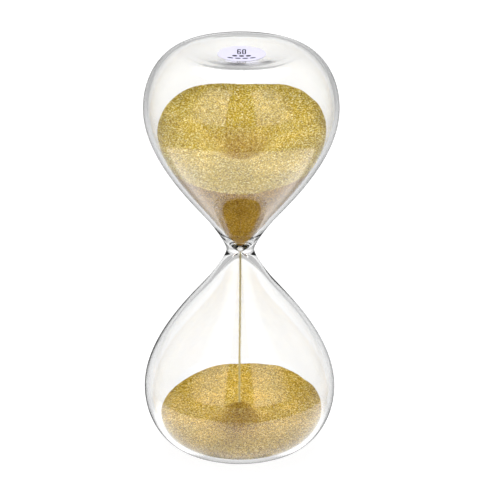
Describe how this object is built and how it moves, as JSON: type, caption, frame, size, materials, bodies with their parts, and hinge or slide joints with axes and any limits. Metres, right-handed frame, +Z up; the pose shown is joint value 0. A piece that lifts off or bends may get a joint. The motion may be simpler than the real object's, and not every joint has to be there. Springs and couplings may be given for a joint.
{
  "type": "hourglass",
  "caption": "Frameless blown glass hourglass: two pear-shaped bulbs fused at a narrow neck, gold sand banked in both and a thread of sand falling between them.",
  "frame": {"origin": "centre of the lower resting ring, on the surface the hourglass stands on", "axes": "+Z up along the axis of the bulbs, +Y away from the reader of the label, +X to the reader's right"},
  "size_m": [0.122, 0.122, 0.2644],
  "materials": {
    "glass": "clear polished",
    "sand": "fine glittering grains",
    "label": "satin film",
    "print": "matt ink",
    "stopper": "matt silicone"
  },
  "bodies": {
    "root": {"upper_bulb": "glass", "lower_bulb": "glass", "fill_plug": "stopper", "label": "label", "label_print": "print", "upper_sand": "sand", "lower_sand": "sand", "sand_stream": "sand"}
  },
  "joints": []
}
